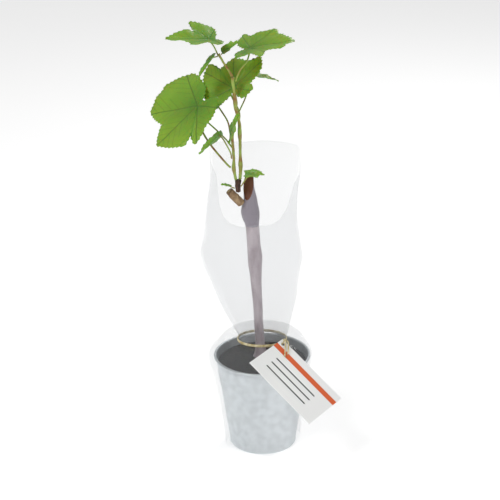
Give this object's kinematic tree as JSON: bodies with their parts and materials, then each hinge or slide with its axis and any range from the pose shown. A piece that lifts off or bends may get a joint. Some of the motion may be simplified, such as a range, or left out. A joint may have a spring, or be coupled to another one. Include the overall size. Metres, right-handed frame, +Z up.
{
  "type": "potted grapevine",
  "caption": "Young grafted grapevine with leafy shoots in a small galvanised bucket, wrapped in a clear film bag that is tied with raffia, with a plain card tag.",
  "frame": {"origin": "centre of the bucket's flat underside", "axes": "+Z up along the plant, +X to the right and +Y away from a viewer who faces the tag"},
  "size_m": [0.1858, 0.1532, 0.4423],
  "materials": {
    "galvanised": "mottled zinc",
    "potting_soil": "crumbly",
    "waxed_bark": "waxed",
    "cut_wood": "raw",
    "dark_bark": "rough",
    "green_stem": "satin",
    "leaf": "satin",
    "clear_film": "glossy",
    "raffia": "fibrous",
    "card": "matte"
  },
  "bodies": {
    "root": {"bucket": "galvanised", "soil": "potting_soil", "trunk": "waxed_bark", "spur": "cut_wood", "shoot_base": "dark_bark", "left_shoot": "green_stem", "right_shoot": "green_stem", "upper_left_shoot": "green_stem", "leaves_lower_left": "leaf", "leaves_middle_left": "leaf", "leaves_centre": "leaf", "leaves_top_left": "leaf", "leaves_folded_left": "leaf", "leaves_shoot_tip": "leaf", "leaves_top_right": "leaf", "leaves_right": "leaf", "leaves_hanging": "leaf", "leaves_edge_on": "leaf", "leaves_low_right": "leaf", "leaves_bud": "leaf", "leaves_back_left": "leaf", "leaves_back_centre": "leaf", "film_skirt": "clear_film", "film_collar": "clear_film", "raffia_ring": "raffia", "raffia_knot": "raffia", "tag": "card"}
  },
  "joints": []
}
